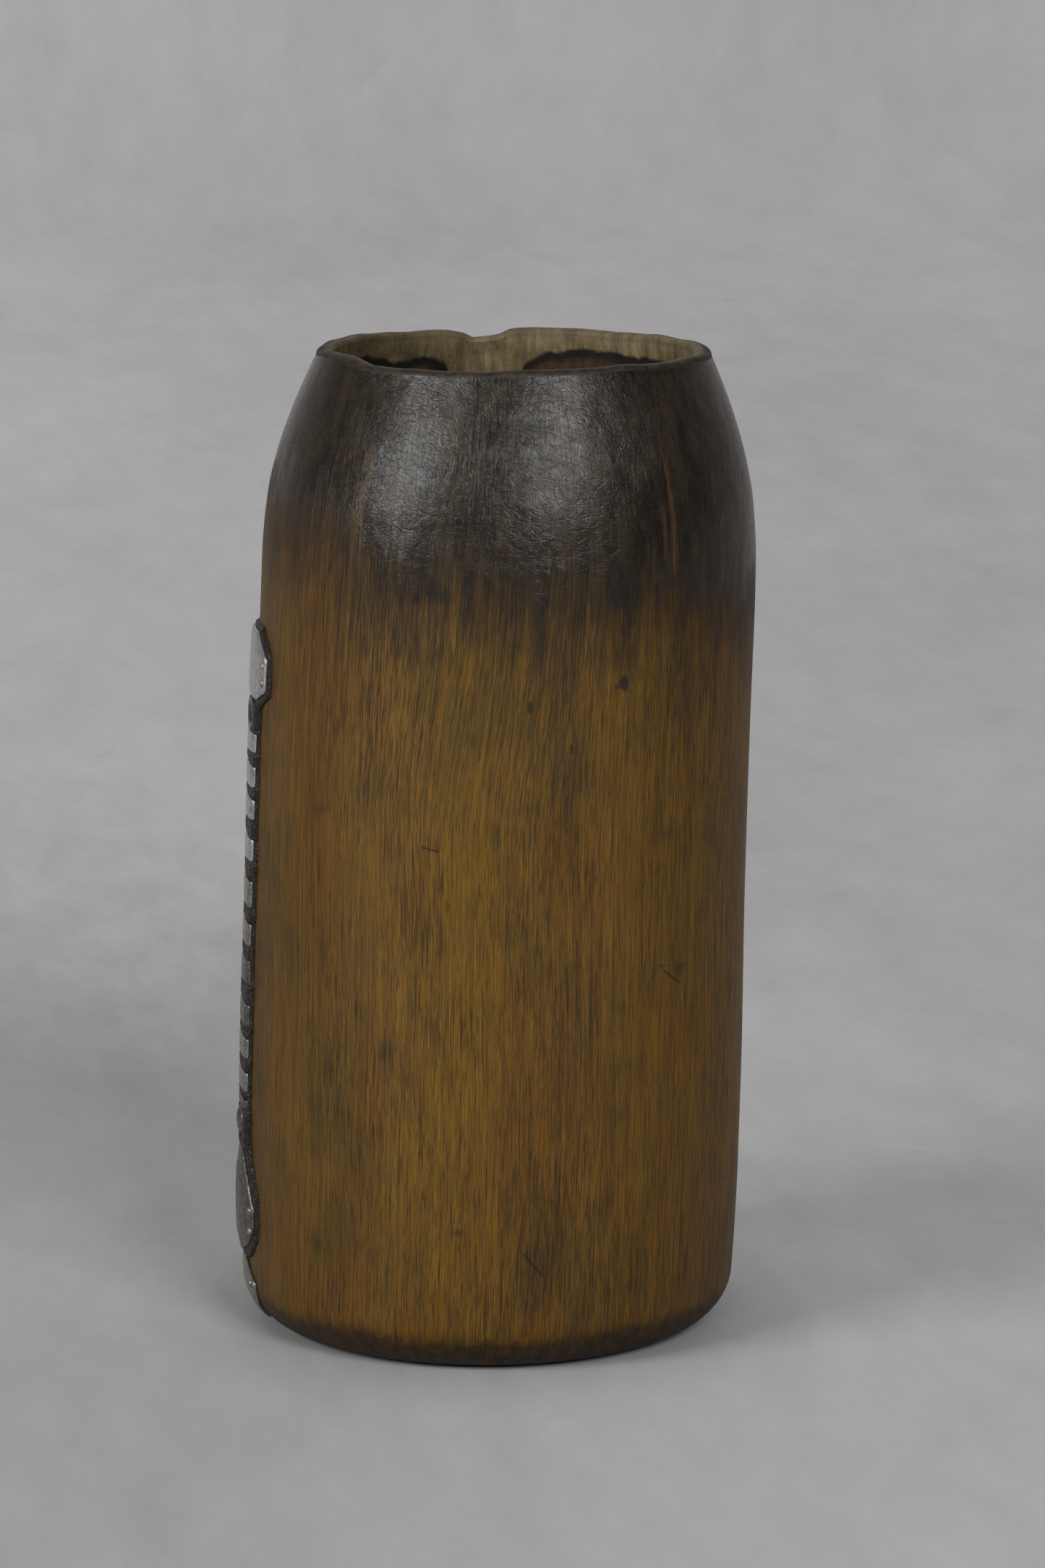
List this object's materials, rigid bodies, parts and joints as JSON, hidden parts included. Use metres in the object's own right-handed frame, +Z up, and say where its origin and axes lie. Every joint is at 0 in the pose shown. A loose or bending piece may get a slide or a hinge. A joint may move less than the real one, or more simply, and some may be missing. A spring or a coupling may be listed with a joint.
{
  "type": "carved wooden vessel",
  "caption": "Tall one-piece carved wooden drinking vessel with a tapered shoulder, a pouring notch in the rim and a cleated leather and metal strip up one side.",
  "frame": {"origin": "centre of the flat base, on the plane the vessel stands on", "axes": "+Z up, -X towards the leather and metal strip, +Y towards the pouring notch in the rim"},
  "size_m": [0.1275, 0.122, 0.2411],
  "materials": {
    "wood_body": "oiled hand-carved wood, darkened by handling near the rim",
    "leather_dark": "worn, blackened leather",
    "grey_metal": "hand-beaten and tarnished sheet",
    "brass_pin": "worn"
  },
  "bodies": {
    "root": {"vessel": "wood_body", "leather_strip": "leather_dark", "top_plate": "grey_metal", "oval_ring": "grey_metal", "cleat_01": "grey_metal", "cleat_02": "grey_metal", "cleat_03": "grey_metal", "cleat_04": "grey_metal", "cleat_05": "grey_metal", "cleat_06": "grey_metal", "cleat_07": "grey_metal", "cleat_08": "grey_metal", "cleat_09": "grey_metal", "cleat_10": "grey_metal", "cleat_11": "grey_metal", "low_stud": "grey_metal", "low_plate": "grey_metal", "foot_plate": "grey_metal", "top_plate_pins": "brass_pin", "low_plate_pins": "brass_pin", "foot_plate_pins": "brass_pin"}
  },
  "joints": []
}
